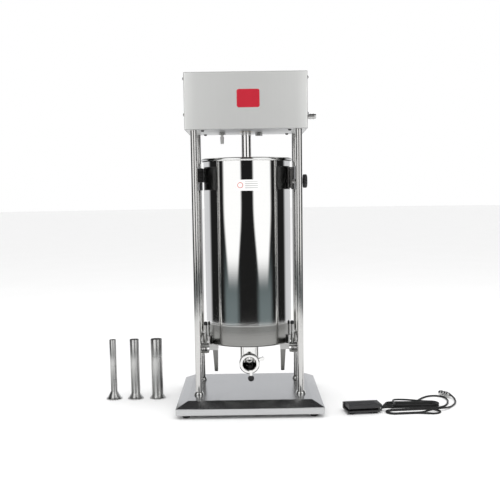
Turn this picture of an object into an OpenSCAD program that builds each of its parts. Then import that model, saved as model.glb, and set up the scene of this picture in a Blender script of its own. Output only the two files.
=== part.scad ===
// Vertical electric sausage stuffer with loose stuffing tubes and a foot switch.
// Millimetres, +Z up, -Y is the front. The origin is on the floor under the piston rod.

/* [Base] */
// Width of the base tray
base_w = 365; // [340:1:420]
// Depth of the base tray
base_d = 370; // [340:1:420]
// Height of the upright rim of the tray
rim_h = 17; // [12:1:24]
// Height of the rubber feet
foot_h = 9; // [6:1:14]
// Height of the column platform above the floor
deck_z = 40; // [36:1:50]

/* [Frame] */
// Diameter of the four columns
column_d = 16; // [14:1:20]
// Distance of the columns from the middle, sideways
column_x = 129.5; // [126:0.5:136]
// Distance of the columns from the middle, front to back
column_y = 92; // [88:1:94]
// Underside of the head
head_z = 704; // [700:1:720]

/* [Head] */
// Width of the head cover
head_w = 302; // [296:1:320]
// Depth of the head cover
head_d = 208; // [206:1:220]
// Height of the head cover
head_h = 138; // [134:1:150]

/* [Cylinder] */
// Outer diameter of the cylinder
cyl_d = 221; // [219:0.5:222]
// Wall of the cylinder
cyl_wall = 1.5; // [1.5:0.1:2]
// Underside of the cylinder floor
cyl_z = 163; // [162:0.5:164]
// Height of the cylinder with its rim
cyl_h = 473; // [440:1:474]

/* [Drive] */
// Diameter of the piston rod
rod_d = 25; // [25:0.5:26]
// Gear module of rack and pinion
rack_m = 2.5; // [2.5:0.1:2.6]
// Teeth of the pinion
pinion_n = 18; // [18:1:18]
// Gear module of the motor stage
stage_m = 2; // [2:0.1:2]
// Teeth of the driven gear
driven_n = 45; // [45:1:45]
// Teeth of the motor gear
motor_n = 15; // [15:1:15]
// Travel of the piston
piston_travel = 486; // [440:1:486]

/* [Stuffing tubes] */
// Length of a stuffing tube
tube_l = 162; // [150:1:180]
// Diameter of a tube flange
tube_flange_d = 43; // [40:0.5:44]

/* [Foot switch] */
// Width of the treadle
pedal_w = 79; // [74:1:84]
// Depth of the treadle
pedal_d = 56; // [50:1:60]
// Diameter of the cord
cord_d = 4.6; // [4:0.1:5]

/* [Hidden] */
$fn = 64;
FIT = 0.05;             // radial running clearance
SHEET = 2;              // sheet of the tray
SKIN = 1.5;             // sheet of the head cover
RIM_TOP = foot_h + rim_h;
BEVEL = 29;             // inset of the deck from the rim
FLANGE = 34;            // width of the folded flange under the tray
FOOT_X = base_w / 2 - 24.5;
FOOT_Y = base_d / 2 - 22;
STUD_D = 10;            // threaded ends of the columns
PLATE_T = 4;            // plate that carries the head
PLATE_TOP = head_z + PLATE_T;
HEAD_TOP = head_z + head_h;
POST = 10;              // square posts of the head
POST_X = head_w / 2 - SKIN - POST / 2 - 0.1;
POST_Y = 85;
COVER_SCREW_Z = [head_z + 37, head_z + 124];
DRIVE_Z = head_z + 69;  // height of the drive shaft
PITCH_R = rack_m * pinion_n / 2;
RACK_Y = 8.5;           // pitch line of the rack behind the rod axis
DRIVE_Y = RACK_Y + PITCH_R;
STAGE_GAP = stage_m * (driven_n + motor_n) / 2;
MOTOR_Y = DRIVE_Y - STAGE_GAP;
SHAFT_D = 15;
BEARING_D = 32;
BEARING_W = 9;
CHEEK_X = 23;           // middle of a gearbox cheek
GEAR_X = 34;            // inner face of the motor stage
GEAR_W = 12;
MOTOR_X = 52;           // mounting face of the motor
CYL_R = cyl_d / 2;
BORE_R = CYL_R - cyl_wall;
CYL_TOP = cyl_z + cyl_h;
FLOOR_T = 2;
RIM_R = CYL_R + 6;
OUT_Y = -48;            // axis of the outlet neck
OUT_Z = 117;            // axis of the outlet mouth
MOUTH_Y = -84;          // end face of the outlet thread
THREAD_R = 22.5;
OUT_R = 17;
NUT_R = 26;
BALL_R = 8;
BALL_AT = NUT_R + 11;    // distance of the ball from the outlet axis
PISTON_Z = cyl_z + FLOOR_T + 1;
PISTON_T = 22.5;
PISTON_TOP = PISTON_Z + PISTON_T;
PISTON_R = 107;
SEAL_R = BORE_R - 0.3;
ROD_TOP = HEAD_TOP - 4;
RACK_PITCH = PI * rack_m;
VALVE_X = 62;
SWITCH_X = -62;
SWITCH_Y = 10;
DRAIN_X = 33;
DRAIN_Y = 20;
PIVOT_Y = -30;          // axis of the lower pivots
PIVOT_Z = 156;
PIVOT_R = 6;
PIVOT_IN = 96;
PIVOT_OUT = 137;
LOCK_X = 112.4;
LOCK_R = 3;
LOCK_TOP = 209;
CLAMP_Z = 577;
BRACKET_Z = 557;
BRACKET_H = 59;
BRACKET_T = 8;
BRACKET_IN = column_x - BRACKET_T / 2;
BRACKET_OUT = column_x + BRACKET_T / 2;
PAD_IN = CYL_R + 0.4;
// Each tube: place, outer diameter and height of its cone
TUBES = [[-367, 44, 18, 19], [-309, 45, 25, 12], [-250, 46, 31, 8]];
PEDAL_AT = [279.5, -131.3];
PEDAL_TURN = 7;
PEDAL_FOOT = 5;
PIN_Y = pedal_d / 2 - 5.5;
PIN_Z = 17.5;
PIN_R = 1.5;
GLAND_X = pedal_w / 2 + 7;
GLAND_L = 20;
CORD_Z = 9;             // where the cord leaves the gland
// Bundles of the folded cord: middles of its two end turns, outer radius and height
BUNDLES = [[[363, -84], [463, -84], 21.2, 9.5], [[358, -147], [451, -146], 21.5, 4.7]];
// Cord from its gland to the rear bundle
ENTRY = [[347.4, -122.2, 9], [350.2, -118.5, 9.5], [352.6, -113, 10.3], [356, -103, 11.9]];
// Loop of cord from the rear bundle to the front one
LOOP = [[405.5, -60.6, 7], [414, -53, 6.4], [424, -42, 4.2], [434, -29, 2.5], [445, -13, 2.3],
    [458, 2, 2.3], [472, 13, 2.3], [487, 18, 2.3], [501, 14, 2.3], [511, 4, 2.3],
    [516, -10, 2.3], [517, -26, 2.3], [515, -44, 2.3], [511, -62, 2.3], [505, -80, 2.3],
    [496, -97, 2.3], [484, -109, 2.3], [469, -116, 2.3], [458, -121.5, 2.3]];
// Free end of the cord, from the front bundle to its plug
TAIL = [[440, -148, 7.1], [452, -145, 7.2], [463, -141.5, 7.2], [475, -136, 7], [487, -128.5, 5.4],
    [498, -119, 3.6], [508, -108, 2.5], [517, -95, 2.3], [525, -80, 2.3], [531, -64, 2.3],
    [535, -48, 2.3], [537, -33, 2.8], [536.8, -21, 4.8], [534, -11, 7.3], [532.4, -8.5, 7.6]];
PLUG_D = 15;
PLUG_L = 42;

STEEL = "silver";
POLISHED = "gainsboro";
RUBBER = "black";

// ---------- shared shapes ----------

module box(lo, hi) {
    translate(lo) cube(hi - lo);
}

module ring(outer, inner, h) {
    difference() {
        cylinder(r = outer, h = h);
        translate([0, 0, -1]) cylinder(r = inner, h = h + 2);
    }
}

module hexagon(flats, h) {
    cylinder(d = flats / cos(30), h = h, $fn = 6);
}

module along_x() {
    rotate([0, 90, 0]) children();
}

module along_front() {
    rotate([90, 0, 0]) children();
}

module at_corners(x, y) {
    for (sx = [-1, 1], sy = [-1, 1]) translate([sx * x, sy * y, 0]) children();
}

// A screw with a domed head, its head seat at z = 0 and its shank down
module dome_screw(head_d, head_h, shank_d, shank_l) {
    translate([0, 0, -shank_l]) cylinder(d = shank_d, h = shank_l + 0.5);
    intersection() {
        cylinder(d = head_d, h = head_h);
        translate([0, 0, head_h - head_d * 0.75]) sphere(r = head_d * 0.75);
    }
}

// Point of an involute at unwinding angle t on a base circle of radius rb
function involute(rb, t) =
    [rb * (cos(t) + t * PI / 180 * sin(t)), rb * (sin(t) - t * PI / 180 * cos(t))];

function turned(p, a) = [p[0] * cos(a) - p[1] * sin(a), p[0] * sin(a) + p[1] * cos(a)];

// One flank of a tooth from the root to the tip, its middle line along +X
function flank(m, n, slack) =
    let (
        rp = m * n / 2,
        rb = rp * cos(20),
        ra = rp + m,
        tp = sqrt(pow(rp / rb, 2) - 1) * 180 / PI,
        ta = sqrt(pow(ra / rb, 2) - 1) * 180 / PI,
        half = 90 / n - slack / rp * 180 / PI + tp - atan(tp * PI / 180)
    )
    [for (i = [0:5]) turned(involute(rb, ta * i / 5), -half)];

// Outline of a spur gear with a tooth along +X
function gear_outline(m, n, slack) =
    let (side = flank(m, n, slack), rr = m * (n / 2 - 1.25))
    [for (k = [0:n - 1]) each [
        for (p = concat([turned([rr, 0], atan2(side[0][1], side[0][0]))], side)) turned(p, k * 360 / n),
        for (i = [5:-1:0]) turned([side[i][0], -side[i][1]], k * 360 / n),
        turned([rr, 0], k * 360 / n - atan2(side[0][1], side[0][0]))
    ]];

// A spur gear on the X axis; a tooth points to the front when turn is 0
module spur_gear(m, n, w, bore, turn) {
    along_x() difference() {
        linear_extrude(w) rotate(-90 + turn) polygon(gear_outline(m, n, 0.12));
        translate([0, 0, -1]) cylinder(r = bore, h = w + 2);
    }
}

// ---------- base and columns ----------

// Hipped block: rim of height h on a w by d foot, then a slope to the deck
module hipped(w, d, z0, z1, z2, inset) {
    intersection() {
        translate([0, d / 2, 0]) along_front() linear_extrude(d)
            polygon([[-w / 2, z0], [w / 2, z0], [w / 2, z1], [w / 2 - inset, z2],
                [inset - w / 2, z2], [-w / 2, z1]]);
        translate([-w / 2, 0, 0]) rotate([90, 0, 90]) linear_extrude(w)
            polygon([[-d / 2, z0], [d / 2, z0], [d / 2, z1], [d / 2 - inset, z2],
                [inset - d / 2, z2], [-d / 2, z1]]);
    }
}

module base_tray() {
    color(STEEL) difference() {
        hipped(base_w, base_d, foot_h, RIM_TOP, deck_z, BEVEL);
        hipped(base_w - 2 * SHEET, base_d - 2 * SHEET, foot_h + SHEET, RIM_TOP - 1,
            deck_z - SHEET, BEVEL);
        box([FLANGE - base_w / 2, FLANGE - base_d / 2, foot_h - 1],
            [base_w / 2 - FLANGE, base_d / 2 - FLANGE, foot_h + SHEET + 1]);
        at_corners(column_x, column_y) translate([0, 0, deck_z - 5]) cylinder(d = STUD_D, h = 10);
        at_corners(FOOT_X, FOOT_Y) translate([0, 0, foot_h - 1]) cylinder(d = 5, h = 5);
    }
}

module rubber_feet() {
    color(RUBBER) at_corners(FOOT_X, FOOT_Y) difference() {
        union() {
            translate([0, 0, 2]) cylinder(d = 19, h = foot_h - 2);
            cylinder(d1 = 16, d2 = 19, h = 2);
        }
        translate([0, 0, -1]) cylinder(d = 10, h = 4);
        cylinder(d = 5, h = foot_h + 1);
    }
}

module foot_screws() {
    color(STEEL) at_corners(FOOT_X, FOOT_Y) {
        translate([0, 0, 0.6]) cylinder(d = 9, h = 2.4);
        translate([0, 0, 2]) cylinder(d = 5, h = foot_h + 3);
        translate([0, 0, foot_h + SHEET]) hexagon(8, 4);
    }
}

module columns() {
    color(POLISHED) at_corners(column_x, column_y) {
        translate([0, 0, deck_z]) cylinder(d = column_d, h = head_z - deck_z);
        translate([0, 0, deck_z - 14]) cylinder(d = STUD_D, h = head_z + 18 - deck_z + 14);
    }
}

module column_collars() {
    color(POLISHED) at_corners(column_x, column_y) difference() {
        translate([0, 0, deck_z]) intersection() {
            cylinder(d = 25, h = 8);
            translate([0, 0, -6]) sphere(r = 16);
        }
        translate([0, 0, deck_z - 1]) cylinder(d = column_d, h = 12);
    }
}

module column_nuts() {
    color(STEEL) at_corners(column_x, column_y) for (z = [deck_z - SHEET - 9, PLATE_TOP])
        translate([0, 0, z]) difference() {
            hexagon(17, 9);
            translate([0, 0, -1]) cylinder(d = STUD_D, h = 11);
        }
}

// ---------- head ----------

module head_plate() {
    color(STEEL) difference() {
        box([0.1 + SKIN - head_w / 2, 0.1 + SKIN - head_d / 2, head_z],
            [head_w / 2 - SKIN - 0.1, head_d / 2 - SKIN - 0.1, PLATE_TOP]);
        at_corners(column_x, column_y) translate([0, 0, head_z - 1]) cylinder(d = STUD_D, h = 6);
        translate([0, 0, head_z - 1]) cylinder(d = 35, h = 6);
        translate([SWITCH_X, SWITCH_Y, head_z - 1]) cylinder(d = 10, h = 6);
        translate([DRAIN_X, DRAIN_Y, head_z - 1]) cylinder(d = 8, h = 6);
        at_corners(108, 78) translate([0, 0, head_z - 1]) cylinder(d = 5, h = 6);
    }
}

module plate_screws() {
    color("dimgray") at_corners(108, 78) translate([0, 0, head_z]) rotate([180, 0, 0])
        dome_screw(9, 3.5, 5, 10);
}

module head_posts() {
    color(STEEL) at_corners(POST_X, POST_Y) difference() {
        box([-POST / 2, -POST / 2, PLATE_TOP], [POST / 2, POST / 2, HEAD_TOP - SKIN - 1]);
        for (z = COVER_SCREW_Z) translate([-POST / 2 - 1, 0, z]) along_x() cylinder(d = 4, h = POST + 2);
    }
}

module head_cover() {
    color(STEEL) difference() {
        box([-head_w / 2, -head_d / 2, head_z], [head_w / 2, head_d / 2, HEAD_TOP]);
        box([SKIN - head_w / 2, SKIN - head_d / 2, head_z - 1],
            [head_w / 2 - SKIN, head_d / 2 - SKIN, HEAD_TOP - SKIN]);
        translate([0, 0, HEAD_TOP - 5]) cylinder(d = 34, h = 10);
        for (s = [-1, 1], y = [-POST_Y, POST_Y], z = COVER_SCREW_Z)
            translate([s * head_w / 2 - 3, y, z]) along_x() cylinder(d = 4, h = 6);
        translate([head_w / 2 - 5, -30, head_z + 34]) along_x() cylinder(d = 12, h = 10);
    }
}

module cover_screws() {
    color(STEEL) for (s = [0, 1], y = [-POST_Y, POST_Y], z = COVER_SCREW_Z) mirror([s, 0, 0])
        translate([head_w / 2, y, z]) along_x() dome_screw(9, 3.5, 4, 9);
}

module upper_rod_bush() {
    color("goldenrod") translate([0, 0, HEAD_TOP - 14]) difference() {
        union() {
            cylinder(d = 34, h = 14);
            cylinder(d = 42, h = 14 - SKIN);
        }
        translate([0, 0, -1]) cylinder(r = rod_d / 2 + FIT, h = 16);
    }
}

module lower_rod_bush() {
    color("goldenrod") translate([0, 0, head_z]) difference() {
        union() {
            cylinder(d = 34, h = 16);
            cylinder(d = 35, h = PLATE_T);
        }
        translate([0, 0, -1]) cylinder(r = rod_d / 2 + FIT, h = 18);
    }
}

// Plain enamelled plate on the front of the head
module badge_plate() {
    color("firebrick") translate([6, -head_d / 2, head_z + 74]) along_front() linear_extrude(1)
        offset(r = 5, $fn = 32) square([46, 34], center = true);
}

module pedal_socket() {
    color("silver") translate([head_w / 2 - 8, -30, head_z + 34]) along_x() {
        cylinder(d = 12, h = 34);
        for (x = [8, 16, 24]) translate([0, 0, x]) cylinder(d = 14, h = 3);
        translate([0, 0, 8 - SKIN - 3]) hexagon(16, 3);
    }
}

// ---------- drive ----------

module gearbox_cheeks() {
    color(STEEL) for (s = [-1, 1]) difference() {
        box([s * CHEEK_X - 5, -24, PLATE_TOP], [s * CHEEK_X + 5, DRIVE_Y + 30, DRIVE_Z + 44]);
        translate([s * CHEEK_X - 6, DRIVE_Y, DRIVE_Z]) along_x() cylinder(d = BEARING_D, h = 12);
    }
}

module shaft_bearings() {
    color("slategray") for (s = [-1, 1])
        translate([s * CHEEK_X - BEARING_W / 2, DRIVE_Y, DRIVE_Z]) along_x()
            ring(BEARING_D / 2, SHAFT_D / 2 + 0.02, BEARING_W);
}

module drive_shaft() {
    color(STEEL) translate([-30, DRIVE_Y, DRIVE_Z]) along_x() {
        cylinder(d = SHAFT_D, h = 77);
        translate([0, 0, -1.5]) cylinder(d = SHAFT_D + 4, h = 1.5);
    }
}

module pinion() {
    color("darkgray") translate([-12, DRIVE_Y, DRIVE_Z])
        spur_gear(rack_m, pinion_n, 24, SHAFT_D / 2, 0);
}

module driven_gear() {
    color("darkgray") translate([GEAR_X, DRIVE_Y, DRIVE_Z])
        spur_gear(stage_m, driven_n, GEAR_W, SHAFT_D / 2, 0);
}

module motor_gear() {
    color("darkgray") {
        translate([GEAR_X, MOTOR_Y, DRIVE_Z])
            spur_gear(stage_m, motor_n, GEAR_W, 4.9, 180 + 180 / motor_n);
        translate([GEAR_X, MOTOR_Y, DRIVE_Z]) along_x() cylinder(r = 5, h = 60);
    }
}

module motor_bracket() {
    color(STEEL) difference() {
        union() {
            box([MOTOR_X - 4, MOTOR_Y - 38, PLATE_TOP], [MOTOR_X, MOTOR_Y + 38, DRIVE_Z + 36]);
            box([MOTOR_X - 4, MOTOR_Y - 38, PLATE_TOP], [MOTOR_X + 30, MOTOR_Y + 38, PLATE_TOP + 3]);
        }
        translate([MOTOR_X - 5, MOTOR_Y, DRIVE_Z]) along_x() cylinder(r = 12, h = 6);
    }
}

module motor_casing() {
    color("dimgray") translate([MOTOR_X, MOTOR_Y, DRIVE_Z]) along_x() difference() {
        union() {
            cylinder(r = 30, h = 22);
            translate([0, 0, 22]) cylinder(r = 33, h = 60);
            translate([0, 0, 82]) cylinder(r = 28, h = 4);
        }
        translate([0, 0, -1]) cylinder(r = 5.05, h = 46);
    }
}

module control_box() {
    color("dimgray") box([-142, -60, PLATE_TOP], [-82, 60, PLATE_TOP + 52]);
}

module limit_switch() {
    color(STEEL) translate([SWITCH_X, SWITCH_Y, 0]) difference() {
        union() {
            translate([0, 0, head_z - 6]) hexagon(15, 6);
            translate([0, 0, head_z - 7]) cylinder(d = 10, h = 36);
            translate([0, 0, PLATE_TOP]) hexagon(15, 5);
            translate([0, 0, PLATE_TOP + 12]) cylinder(d = 16, h = 30);
        }
        translate([0, 0, head_z - 10]) cylinder(r = 3, h = 30);
    }
}

module switch_plunger() {
    color("gray") translate([SWITCH_X, SWITCH_Y, head_z]) {
        translate([0, 0, -29]) cylinder(d1 = 8.2, d2 = 10, h = 18.5);
        translate([0, 0, -11]) cylinder(r = 3 - FIT, h = 25);
    }
}

module drain_plug() {
    color(STEEL) translate([DRAIN_X, DRAIN_Y, head_z]) {
        translate([0, 0, -9]) hexagon(16, 9);
        cylinder(d = 8, h = 10);
    }
}

// ---------- upper clamp ----------

// Sleeve on a rear column with a flat bar that ends at the front column
module upper_bracket() {
    difference() {
        union() {
            translate([column_x, column_y, BRACKET_Z]) cylinder(d = 21, h = BRACKET_H);
            box([BRACKET_IN, -column_y + column_d / 2, BRACKET_Z],
                [BRACKET_OUT, column_y, BRACKET_Z + BRACKET_H]);
            translate([BRACKET_OUT - 1, 0, CLAMP_Z]) along_x() cylinder(d = 18, h = 7);
        }
        translate([column_x, column_y, BRACKET_Z - 1]) cylinder(d = column_d, h = BRACKET_H + 2);
        translate([BRACKET_IN - 1, 0, CLAMP_Z]) along_x() cylinder(r = 5 + FIT, h = 20);
    }
}

module upper_brackets() {
    color("dimgray") for (s = [0, 1]) mirror([s, 0, 0]) upper_bracket();
}

module stop_block() {
    color(STEEL) difference() {
        box([-BRACKET_IN, -20, BRACKET_Z + 20], [-PAD_IN, 20, BRACKET_Z + 55]);
        cylinder(r = PAD_IN, h = HEAD_TOP);
        for (z = [BRACKET_Z + 30, BRACKET_Z + 43])
            box([-BRACKET_IN - 1, -21, z], [-PAD_IN + 1, -14, z + 5]);
    }
}

module clamp_pad() {
    color(STEEL) difference() {
        box([PAD_IN - 1, -20, BRACKET_Z + 2], [PAD_IN + 5.5, 20, BRACKET_Z + 56]);
        cylinder(r = PAD_IN, h = HEAD_TOP);
        translate([PAD_IN + 1.5, 0, CLAMP_Z]) along_x() cylinder(r = 5 + FIT, h = 10);
    }
}

module clamp_screw() {
    color(STEEL) translate([PAD_IN + 2, 0, CLAMP_Z]) along_x() cylinder(r = 5, h = 39);
}

module clamp_knob() {
    color(RUBBER) translate([BRACKET_OUT + 11, 0, CLAMP_Z]) along_x() difference() {
        union() {
            cylinder(d = 32.5, h = 11.5);
            for (a = [0:30:330]) rotate(a) translate([15.4, 0, 0]) cylinder(r = 2, h = 11.5, $fn = 24);
        }
        translate([0, 0, -1]) cylinder(r = 5, h = PAD_IN + 41 - BRACKET_OUT - 11 + 1);
    }
}

// ---------- lower pivots ----------

module lower_bracket() {
    difference() {
        union() {
            translate([column_x, column_y, PIVOT_Z - 13]) cylinder(d = 21, h = 26);
            box([BRACKET_IN, -column_y + column_d / 2, PIVOT_Z - 13],
                [BRACKET_OUT, column_y, PIVOT_Z + 13]);
            box([LOCK_X - 8, PIVOT_Y - 12, PIVOT_Z - 18], [BRACKET_OUT, PIVOT_Y + 12, PIVOT_Z - 13]);
        }
        translate([column_x, column_y, PIVOT_Z - 20]) cylinder(d = column_d, h = 40);
        translate([BRACKET_IN - 1, PIVOT_Y, PIVOT_Z]) along_x() cylinder(r = 9, h = BRACKET_T + 2);
        translate([LOCK_X, PIVOT_Y, PIVOT_Z - 20]) cylinder(r = LOCK_R + FIT, h = 10);
    }
}

module lower_brackets() {
    color("gray") for (s = [0, 1]) mirror([s, 0, 0]) lower_bracket();
}

module trunnion_bushes() {
    color(RUBBER) for (s = [0, 1]) mirror([s, 0, 0])
        translate([BRACKET_IN - 2, PIVOT_Y, PIVOT_Z]) along_x() difference() {
            union() {
                cylinder(r = 9, h = BRACKET_T + 2);
                cylinder(r = 11, h = 2);
            }
            translate([0, 0, -1]) cylinder(r = PIVOT_R + FIT, h = BRACKET_T + 4);
        }
}

// Lug under the cylinder with its pivot bar, corner gusset and pin guide
module trunnion() {
    difference() {
        union() {
            box([80, PIVOT_Y - 22, PIVOT_Z - 9], [103, PIVOT_Y + 22, cyl_z]);
            translate([PIVOT_IN, PIVOT_Y, PIVOT_Z]) along_x()
                cylinder(r = PIVOT_R, h = PIVOT_OUT - PIVOT_IN);
            translate([LOCK_X, PIVOT_Y, PIVOT_Z]) cylinder(d = 8, h = LOCK_TOP - PIVOT_Z);
            translate([0, PIVOT_Y - 16, 0]) along_front() linear_extrude(6)
                polygon([[80, cyl_z], [80, 152], [90, 152], [100, 157], [106, 168], [108, 184],
                    [101.5, 184], [101.5, cyl_z]]);
        }
        translate([LOCK_X, PIVOT_Y, PIVOT_Z - 10]) cylinder(r = LOCK_R + FIT, h = 80);
        translate([0, 0, cyl_z]) cylinder(r = CYL_R, h = 60);
    }
}

module trunnions() {
    color("gray") for (s = [0, 1]) mirror([s, 0, 0]) trunnion();
}

module lock_pin() {
    translate([LOCK_X, PIVOT_Y, 135]) cylinder(r = LOCK_R, h = LOCK_TOP + 6 - 135);
    translate([LOCK_X, PIVOT_Y, LOCK_TOP]) intersection() {
        cylinder(d = 10, h = 10);
        translate([0, 0, 2]) sphere(r = 8);
    }
}

// ---------- cylinder ----------

module cylinder_shell_body() {
    difference() {
        union() {
            translate([0, 0, cyl_z]) cylinder(r = CYL_R, h = cyl_h, $fn = 128);
            translate([0, 0, CYL_TOP - 4]) rotate_extrude($fn = 128)
                translate([RIM_R - 4, 0]) circle(r = 4, $fn = 32);
            translate([0, 0, CYL_TOP - 4]) cylinder(r = RIM_R - 4, h = 4, $fn = 128);
        }
        translate([0, 0, cyl_z + FLOOR_T]) cylinder(r = BORE_R, h = cyl_h, $fn = 128);
        translate([0, OUT_Y, cyl_z - 1]) cylinder(r = 21.5, h = 5);
    }
}

module cylinder_vessel() {
    color(POLISHED) cylinder_shell_body();
}

// Flat tapered legs that the cylinder stands on when it is off the frame
module cylinder_legs() {
    color("gray") for (s = [0, 1]) mirror([s, 0, 0]) translate([0, PIVOT_Y, 0]) intersection() {
        translate([0, 25, 0]) along_front() linear_extrude(50)
            polygon([[81, 147], [94, 147], [90.5, 89], [82, 89]]);
        rotate([90, 0, 90]) linear_extrude(120)
            polygon([[-21, 147], [21, 147], [12, 93], [8, 89], [-8, 89], [-12, 93]]);
    }
}

module outlet_elbow() {
    color(POLISHED) difference() {
        union() {
            translate([0, OUT_Y, OUT_Z]) cylinder(r = 24.5, h = cyl_z - OUT_Z);
            translate([0, OUT_Y, OUT_Z]) sphere(r = 24.5);
            translate([0, OUT_Y, OUT_Z]) along_front() cylinder(r = THREAD_R, h = OUT_Y - MOUTH_Y);
        }
        translate([0, OUT_Y, OUT_Z]) cylinder(r = 21.5, h = 60);
        translate([0, OUT_Y, OUT_Z]) sphere(r = 21.5);
        translate([0, OUT_Y, OUT_Z]) along_front() cylinder(r = 19.5, h = 60);
    }
}

module outlet_seal() {
    color(RUBBER) translate([0, MOUTH_Y, OUT_Z]) along_front() ring(21.5, OUT_R + 1, 2);
}

module outlet_nut() {
    color(POLISHED) {
        difference() {
            translate([0, MOUTH_Y + 9, OUT_Z]) along_front() cylinder(r = NUT_R, h = 15);
            translate([0, MOUTH_Y + 10, OUT_Z]) along_front() cylinder(r = THREAD_R + FIT, h = 12);
            translate([0, MOUTH_Y, OUT_Z]) along_front() cylinder(r = OUT_R, h = 10);
        }
        translate([0, MOUTH_Y + 7, OUT_Z]) rotate([0, -20, 0]) box([NUT_R - 1, -11, -4], [NUT_R + 14, 0, 4]);
        box([-2.5, MOUTH_Y - 8, OUT_Z - NUT_R - 6], [9.5, MOUTH_Y - 4, OUT_Z - OUT_R]);
    }
}

module outlet_ball() {
    color(RUBBER) translate([3.5, MOUTH_Y - 6, OUT_Z - BALL_AT]) difference() {
        sphere(r = BALL_R);
        box([-10, -10, 5], [10, 10, 10]);
    }
}

// Plain label wrapped on the front of the cylinder
module cylinder_label() {
    color("white") translate([0, 0, 554]) intersection() {
        ring(CYL_R + 0.4, CYL_R, 27);
        box([-26, -CYL_R - 5, 0], [32, 0, 27]);
    }
}

// ---------- piston ----------

module piston_plate() {
    color(STEEL) difference() {
        translate([0, 0, PISTON_Z]) cylinder(r = PISTON_R, h = PISTON_T);
        translate([0, 0, PISTON_Z + 7]) ring(PISTON_R + 5, 101, 8);
        translate([0, 0, PISTON_Z + 6]) cylinder(d = 20, h = PISTON_T);
        translate([VALVE_X, 0, PISTON_Z - 1]) cylinder(r = 6, h = PISTON_T + 2);
        translate([VALVE_X, 0, PISTON_Z - 1]) cylinder(r = 9, h = 9);
    }
}

module piston_seal() {
    color("white") translate([0, 0, PISTON_Z + 7]) ring(SEAL_R, 101, 8);
}

module piston_nut() {
    color(STEEL) translate([0, 0, PISTON_TOP]) difference() {
        hexagon(40, 14);
        translate([0, 0, -1]) cylinder(r = rod_d / 2, h = 16);
    }
}

module release_valve() {
    color(STEEL) translate([VALVE_X, 0, 0]) {
        translate([0, 0, PISTON_Z]) cylinder(r = 8.6, h = 3.6);
        translate([0, 0, PISTON_Z + 1]) cylinder(r = 6 - FIT, h = PISTON_T + 1);
        translate([0, 0, PISTON_TOP]) cylinder(r = 8, h = 4);
    }
}

// Cutter for the gaps of the rack, a gap centred on the pinion when the piston is down
module rack_gaps() {
    tip = RACK_Y + rack_m;
    root = RACK_Y - 1.25 * rack_m;
    gap_tip = RACK_PITCH / 4 + rack_m * tan(20) + 0.12;
    gap_root = RACK_PITCH / 4 - 1.25 * rack_m * tan(20) + 0.12;
    low = -floor((DRIVE_Z - 265) / RACK_PITCH);
    for (k = [low:3]) translate([-20, 0, DRIVE_Z + k * RACK_PITCH]) rotate([90, 0, 90])
        linear_extrude(40)
            polygon([[root, -gap_root], [root, gap_root], [tip, gap_tip], [tip, -gap_tip]]);
    box([-20, tip - 0.01, DRIVE_Z + low * RACK_PITCH - 14], [20, 20, DRIVE_Z + 3.5 * RACK_PITCH]);
}

module piston_rod() {
    color(POLISHED) difference() {
        union() {
            translate([0, 0, PISTON_TOP]) cylinder(r = rod_d / 2, h = ROD_TOP - PISTON_TOP);
            translate([0, 0, PISTON_Z + 6]) cylinder(d = 20, h = PISTON_T);
        }
        rack_gaps();
    }
}

// ---------- stuffing tubes ----------

// A tube standing on its flange: straight bore, wide cone at the foot
module stuffing_tube(place) {
    r = place[2] / 2;
    cone = place[3];
    translate([place[0], place[1], 0]) color(POLISHED) difference() {
        union() {
            cylinder(d = tube_flange_d, h = 2.5);
            translate([0, 0, 2.5]) cylinder(r1 = tube_flange_d / 2 - 1, r2 = r, h = cone);
            cylinder(r = r, h = tube_l);
        }
        translate([0, 0, -1]) cylinder(r = r - 1, h = tube_l + 2);
        translate([0, 0, -1]) cylinder(r1 = tube_flange_d / 2 - 2.2, r2 = r - 1, h = cone);
    }
}

// ---------- foot switch ----------

module on_pedal() {
    translate([PEDAL_AT[0], PEDAL_AT[1], 0]) rotate(PEDAL_TURN) children();
}

module pedal_base() {
    color("dimgray") on_pedal() difference() {
        union() {
            box([-pedal_w / 2 - 3, -pedal_d / 2, PEDAL_FOOT], [pedal_w / 2 - 2, pedal_d / 2, 9]);
            box([-pedal_w / 2 - 3, pedal_d / 2 - 11, PEDAL_FOOT], [pedal_w / 2 - 2, pedal_d / 2, 13]);
            box([-pedal_w / 2 - 3, pedal_d / 2 - 11, PEDAL_FOOT], [-pedal_w / 2 - 0.5, pedal_d / 2, 21]);
            box([pedal_w / 2 - 2, -pedal_d / 2 + 8, PEDAL_FOOT], [GLAND_X, pedal_d / 2, 21]);
            for (s = [-1, 1]) translate([s * 18, 0, 8]) cylinder(r = 4, h = 3);
        }
        translate([-pedal_w / 2 - 4, PIN_Y, PIN_Z]) along_x() cylinder(r = PIN_R, h = pedal_w + 6);
    }
}

module pedal_feet() {
    color(RUBBER) on_pedal() at_corners(pedal_w / 2 - 10, pedal_d / 2 - 10) cylinder(d = 12, h = PEDAL_FOOT);
}

module pedal_treadle() {
    color("dimgray") on_pedal() difference() {
        union() {
            rotate([90, 0, 90]) translate([0, 0, -pedal_w / 2]) linear_extrude(pedal_w)
                polygon([[-pedal_d / 2, 14], [pedal_d / 2 - 12, 14], [pedal_d / 2 - 6, 17],
                    [pedal_d / 2 - 2, 20], [pedal_d / 2 - 2, 22], [-pedal_d / 2, 24]]);
            translate([-pedal_w / 2, PIN_Y, PIN_Z]) along_x() cylinder(r = 3, h = pedal_w - 2);
        }
        translate([-pedal_w, PIN_Y, PIN_Z]) along_x() cylinder(r = PIN_R + FIT, h = 2 * pedal_w);
        box([pedal_w / 2 - 2.5, -pedal_d, 0], [pedal_w, pedal_d, 30]);
    }
}

module pedal_pin() {
    color(STEEL) on_pedal() translate([-pedal_w / 2 - 3, PIN_Y, PIN_Z]) along_x()
        cylinder(r = PIN_R, h = pedal_w + 5);
}

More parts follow.
